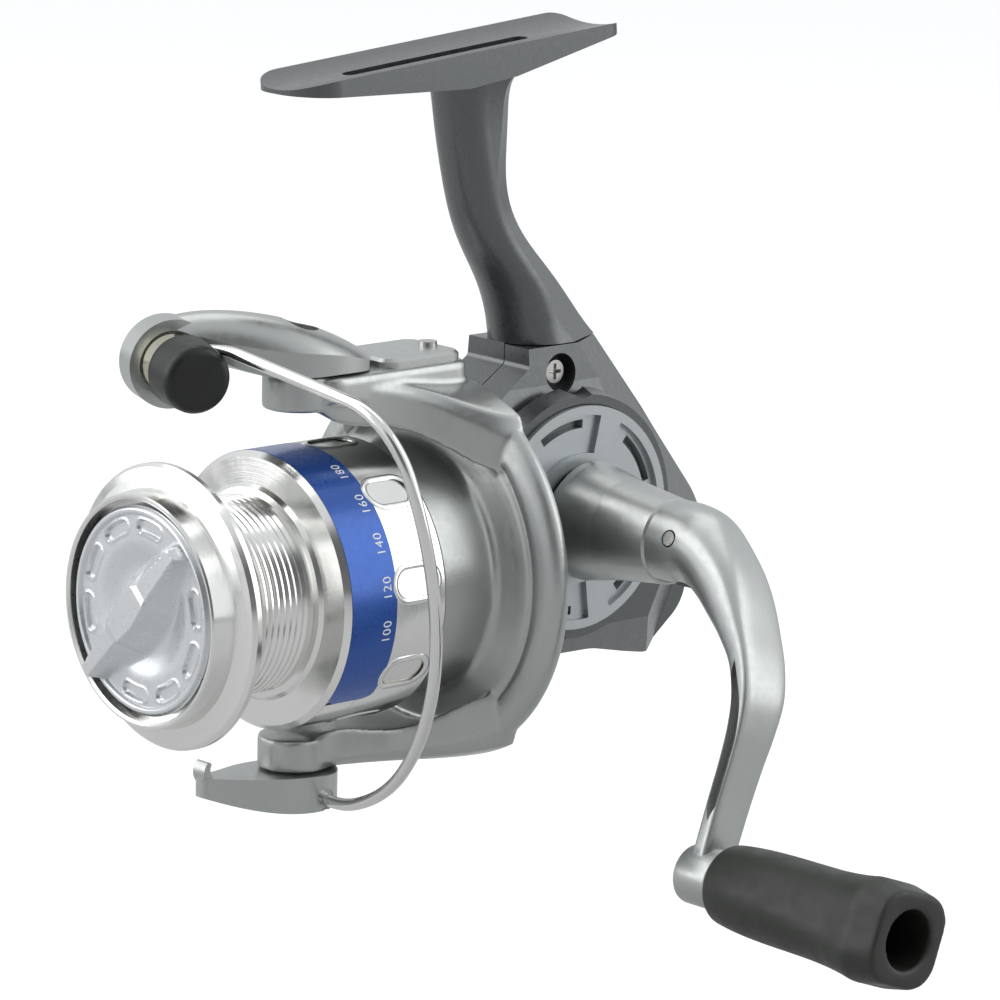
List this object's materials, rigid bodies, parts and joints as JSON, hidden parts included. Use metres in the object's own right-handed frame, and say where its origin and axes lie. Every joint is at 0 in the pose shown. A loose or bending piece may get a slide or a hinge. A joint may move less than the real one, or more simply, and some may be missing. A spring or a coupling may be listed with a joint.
{
  "type": "open-face spinning fishing reel",
  "caption": "Open-face spinning fishing reel with a fixed spool, rotor with bail and line roller, front drag knob, geared folding crank handle and a foot that clamps to a rod.",
  "frame": {"origin": "middle of the foot's seat, where the rod blank lies", "axes": "+Z from the reel towards the rod, -Y the way the line leaves, +X to the handle side"},
  "size_m": [0.1381, 0.1186, 0.1336],
  "materials": {
    "body_paint": "dark gunmetal metallic paint over moulded composite",
    "silver_paint": "satin silver metallic paint over moulded composite",
    "silver_alloy": "satin silver metallic paint over cast alloy",
    "plate_silver": "light silver-grey moulded trim",
    "spool_alloy": "bright turned and polished alloy",
    "band_blue": "gloss blue band",
    "steel": "ground and plated steel",
    "chrome_steel": "polished plated steel",
    "brass": "machined brass",
    "soft_grip": "dark olive-grey rubber",
    "acetal": "white acetal",
    "felt": "oiled felt"
  },
  "bodies": {
    "housing": {"body_frame": "body_paint", "side_cover": "body_paint", "side_plate": "plate_silver", "cover_screws": "steel", "handle_bearings": "steel", "pinion_bearing": "steel", "bearing_retainer": "steel", "retainer_screws": "steel", "pinion_bush": "brass", "guide_rod": "steel", "oscillation_screw": "steel"},
    "drive": {"drive_gear": "steel", "handle_collar": "silver_alloy", "shaft_cap": "body_paint"},
    "handle_stem": {"handle_shaft": "steel"},
    "handle": {"handle_arm": "silver_alloy", "hinge_pin": "steel", "knob_axle": "steel"},
    "handle_grip": {"handle_knob": "soft_grip"},
    "rotor": {"pinion": "brass", "rotor": "silver_paint", "rotor_nut": "brass", "arm_cover": "silver_paint", "arm_cover_screw": "steel", "pivot_screws": "steel", "bail_spring": "steel"},
    "oscillator": {"oscillation_gear": "acetal"},
    "bail": {"bail_arm": "silver_alloy", "bail_wire": "chrome_steel", "bail_lever": "silver_alloy", "roller_cap": "soft_grip", "roller_screw": "steel", "roller_bush": "acetal"},
    "line_roller": {"line_roller": "chrome_steel"},
    "shaft": {"main_shaft": "steel", "slider": "steel", "slider_screw": "steel", "spool_sleeve": "brass", "click_gear": "acetal"},
    "spool": {"spool": "spool_alloy", "spool_band": "band_blue", "drag_felts": "felt", "drag_plates": "steel", "drag_clip": "steel"},
    "drag": {"drag_knob": "silver_paint", "drag_nut": "brass"},
    "anti_reverse": {"anti_reverse_lever": "body_paint"}
  },
  "joints": [
    {"name": "handle_turn", "type": "hinge", "parent": "housing", "child": "drive", "pos_m": [0, 0.02045, -0.0747], "axis": [1, 0, 0], "continuous": true},
    {"name": "handle_release", "type": "slide", "parent": "drive", "child": "handle_stem", "axis": [1, 0, 0], "range_m": [0, 0.006]},
    {"name": "handle_fold", "type": "hinge", "parent": "handle_stem", "child": "handle", "pos_m": [0.0413, 0.02045, -0.0747], "axis": [0, 0.9397, -0.342], "range_deg": [0, 55]},
    {"name": "knob_spin", "type": "hinge", "parent": "handle", "child": "handle_grip", "pos_m": [0.07, 0.00369, -0.12075], "axis": [1, 0, 0], "continuous": true},
    {"name": "rotor_spin", "type": "hinge", "parent": "housing", "child": "rotor", "pos_m": [0, -0.0082, -0.0817], "axis": [0, 1, 0], "continuous": true},
    {"name": "oscillation_turn", "type": "hinge", "parent": "housing", "child": "oscillator", "pos_m": [-0.0063, 0.0408, -0.0827], "axis": [1, 0, 0], "continuous": true},
    {"name": "shaft_slide", "type": "slide", "parent": "housing", "child": "shaft", "axis": [0, 1, 0], "range_m": [0, 0.011]},
    {"name": "spool_spin", "type": "hinge", "parent": "shaft", "child": "spool", "pos_m": [0, -0.0432, -0.0817], "axis": [0, 1, 0], "continuous": true},
    {"name": "drag_knob_turn", "type": "hinge", "parent": "shaft", "child": "drag", "pos_m": [0, -0.0562, -0.0817], "axis": [0, 1, 0], "range_deg": [0, 1080]},
    {"name": "bail_flip", "type": "hinge", "parent": "rotor", "child": "bail", "pos_m": [0, -0.0272, -0.0817], "axis": [0, 0, 1], "range_deg": [-95, 0]},
    {"name": "line_roller_spin", "type": "hinge", "parent": "bail", "child": "line_roller", "pos_m": [-0.0092, -0.0458, -0.0455], "axis": [0.9526, -0.3002, -0.05], "continuous": true},
    {"name": "anti_reverse_switch", "type": "hinge", "parent": "housing", "child": "anti_reverse", "pos_m": [-0.0045, 0.0243, -0.0999], "axis": [0, 0, 1], "range_deg": [0, 40]}
  ],
  "couplings": [
    {"joint": "rotor_spin", "follows": "handle_turn", "ratio": 5},
    {"joint": "oscillation_turn", "follows": "handle_turn", "ratio": -0.8},
    {"joint": "handle_release", "follows": "handle_fold", "m_per_rad": 0.00625}
  ]
}
